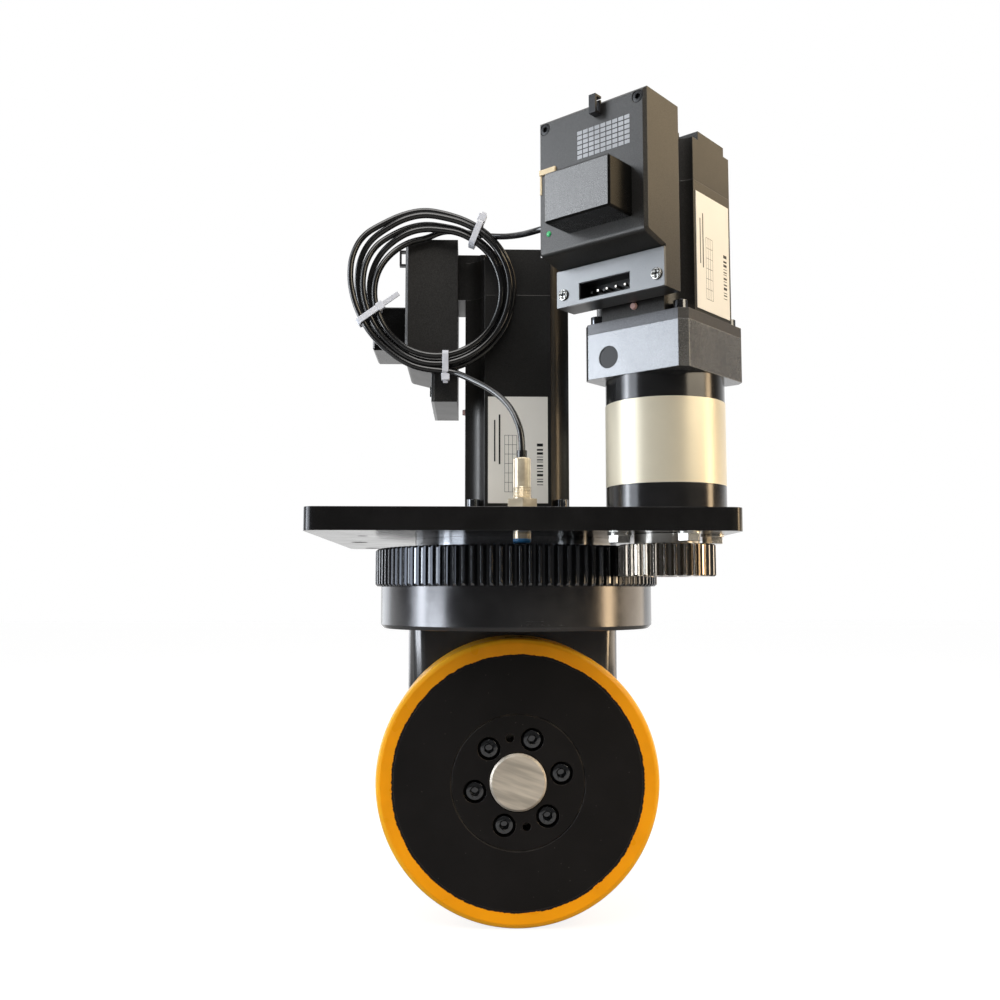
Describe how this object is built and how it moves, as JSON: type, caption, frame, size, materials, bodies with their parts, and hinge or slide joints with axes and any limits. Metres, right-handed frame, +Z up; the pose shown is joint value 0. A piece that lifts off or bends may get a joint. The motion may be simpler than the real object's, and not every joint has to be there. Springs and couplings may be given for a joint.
{
  "type": "steered drive wheel unit",
  "caption": "Steered drive wheel: plate with geared slewing turret, urethane wheel on a side leg, drive and steering motors with side-mounted electronics, and a sensor with coiled cable.",
  "frame": {"origin": "where the steering axis meets the top face of the mounting plate", "axes": "+Z up along the steering axis, -Y towards the wheel's outer face, +X to the right seen from that side"},
  "size_m": [0.2878, 0.3351, 0.5404],
  "materials": {
    "black_plate": "satin black",
    "black_steel": "gloss black",
    "black_oxide": "black oxide",
    "bright_steel": "machined",
    "bronze": "machined",
    "nickel_sleeve": "satin nickel",
    "black_aluminium": "black anodised",
    "driver_paint": "fine grain",
    "polyurethane": "moulded",
    "sensor_brass": "nickel plated",
    "black_rubber": "smooth",
    "black_plastic": "moulded",
    "white_nylon": "moulded",
    "label_film": "printed film"
  },
  "bodies": {
    "root": {"mounting_plate": "black_plate", "slewing_inner_race": "bright_steel", "slewing_race_screws": "black_steel", "slewing_rollers": "bright_steel", "traction_reducer": "bright_steel", "reducer_screws": "black_steel", "gearbox_output_housing": "black_aluminium", "gearbox_bolts": "bright_steel", "gearbox_ring_sleeve": "nickel_sleeve", "gearbox_input_housing": "black_aluminium", "motor_adapter": "black_aluminium", "adapter_plug": "black_rubber", "motor_flange_bolts": "black_steel", "driver_screws": "black_steel", "cable_clips": "black_plastic", "motor_labels": "label_film", "sensor_cable_gland": "black_rubber", "home_sensor": "sensor_brass", "sensor_nut": "sensor_brass", "sensor_boot": "black_rubber", "cable_lead_sensor": "black_rubber", "cable_lead_driver": "black_rubber", "cable_coil": "black_rubber", "cable_ties": "white_nylon", "traction_motor_flange": "black_aluminium", "traction_motor_body": "black_aluminium", "traction_motor_rear_housing": "black_aluminium", "traction_driver_case": "driver_paint", "traction_driver_hood": "driver_paint", "traction_connector_panel": "driver_paint", "steering_motor_flange": "black_aluminium", "steering_motor_body": "black_aluminium", "steering_motor_rear_housing": "black_aluminium", "steering_driver_case": "driver_paint", "steering_driver_hood": "driver_paint", "steering_connector_panel": "driver_paint"},
    "turret": {"ring_gear": "black_oxide", "ring_gear_screws": "black_steel", "turret_ring": "black_steel", "leg_screws": "black_steel", "leg_housing": "black_steel", "leg_cover": "black_steel", "leg_cover_screws": "black_steel", "axle_bearing_outer_rings": "bright_steel", "axle_bearing_rollers": "bright_steel", "axle_seal": "black_rubber", "mid_shaft_bushes": "bronze"},
    "wheel": {"wheel_hub": "black_steel", "tyre": "polyurethane", "hub_screws": "black_steel", "axle": "bright_steel", "axle_bevel_gear": "bright_steel", "axle_bearing_inner_rings": "bright_steel"},
    "steering_pinion": {"steering_pinion": "bright_steel", "gearbox_output_shaft": "bright_steel", "pinion_retainer": "bright_steel"},
    "reducer_output": {"traction_pinion": "bright_steel"},
    "mid_shaft": {"mid_shaft": "bright_steel", "mid_spur_wheel": "bright_steel"}
  },
  "joints": [
    {"name": "steer", "type": "hinge", "parent": "root", "child": "turret", "pos_m": [0, 0, -0.035], "axis": [0, 0, 1], "continuous": true},
    {"name": "wheel_spin", "type": "hinge", "parent": "turret", "child": "wheel", "pos_m": [0, 0, -0.1859], "axis": [0, 1, 0], "continuous": true},
    {"name": "pinion_spin", "type": "hinge", "parent": "root", "child": "steering_pinion", "pos_m": [0.09638, -0.09019, -0.03], "axis": [0, 0, 1], "continuous": true},
    {"name": "input_spin", "type": "hinge", "parent": "turret", "child": "reducer_output", "pos_m": [0, 0, -0.068], "axis": [0, 0, 1], "continuous": true},
    {"name": "mid_spin", "type": "hinge", "parent": "turret", "child": "mid_shaft", "pos_m": [0, 0.06, -0.11], "axis": [0, 0, 1], "continuous": true}
  ],
  "couplings": [
    {"joint": "pinion_spin", "follows": "steer", "ratio": -3.4},
    {"joint": "mid_spin", "follows": "wheel_spin", "ratio": -3},
    {"joint": "input_spin", "follows": "wheel_spin", "ratio": 3.6667}
  ]
}
